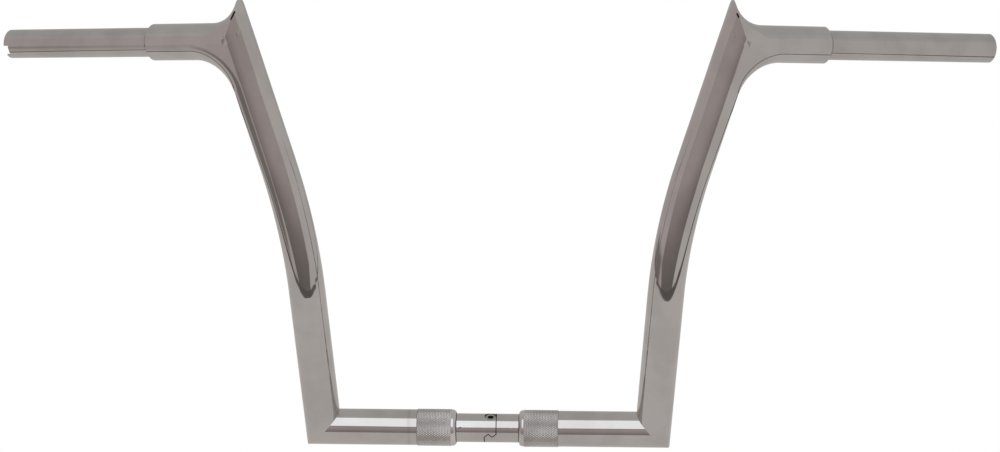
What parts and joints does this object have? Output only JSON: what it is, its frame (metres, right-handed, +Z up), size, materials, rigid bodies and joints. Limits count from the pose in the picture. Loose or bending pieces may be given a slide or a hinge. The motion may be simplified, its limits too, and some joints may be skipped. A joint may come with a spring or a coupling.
{
  "type": "handlebar",
  "caption": "Tall motorcycle handlebar in chromed steel tube, with pointed mitred corners, swept grips, knurled clamp collars and a split, screwed middle.",
  "frame": {"origin": "on the clamp axis, midway between the two knurled clamp collars", "axes": "+X along the clamp axis to the clutch side, +Y back towards the rider, +Z up along the lower risers"},
  "size_m": [0.8806, 0.1718, 0.3991],
  "materials": {
    "tube_chrome": "bright chrome plate, polished, a little warm",
    "grip_chrome": "bright chrome plate on the grip tubes",
    "bar_chrome": "bright chrome plate over turned steel",
    "knurled_chrome": "chrome plate over fine diamond knurl, satin from a distance",
    "screw_steel": "plain steel socket-head screw, slightly dull"
  },
  "bodies": {
    "clutch_half": {"clutch_centre_bar": "bar_chrome", "clutch_clamp_collar": "knurled_chrome", "clutch_crossbar_tube": "tube_chrome", "clutch_riser_tube": "tube_chrome", "clutch_grip_stub": "tube_chrome", "clutch_tip_cap": "tube_chrome", "clutch_knuckle_weld": "tube_chrome", "clutch_grip_tube": "grip_chrome"},
    "throttle_half": {"throttle_centre_bar": "bar_chrome", "throttle_clamp_collar": "knurled_chrome", "throttle_crossbar_tube": "tube_chrome", "throttle_riser_tube": "tube_chrome", "throttle_grip_stub": "tube_chrome", "throttle_tip_cap": "tube_chrome", "throttle_knuckle_weld": "tube_chrome", "throttle_grip_tube": "grip_chrome"},
    "lock_screw": {"lock_screw": "screw_steel"}
  },
  "joints": [
    {"name": "throttle_half_lift", "type": "slide", "parent": "clutch_half", "child": "throttle_half", "axis": [0, -0.0872, 0.9962], "range_m": [0, 0.03]},
    {"name": "lock_screw_draw", "type": "slide", "parent": "throttle_half", "child": "lock_screw", "axis": [0, -0.0872, 0.9962], "range_m": [0, 0.025]}
  ]
}
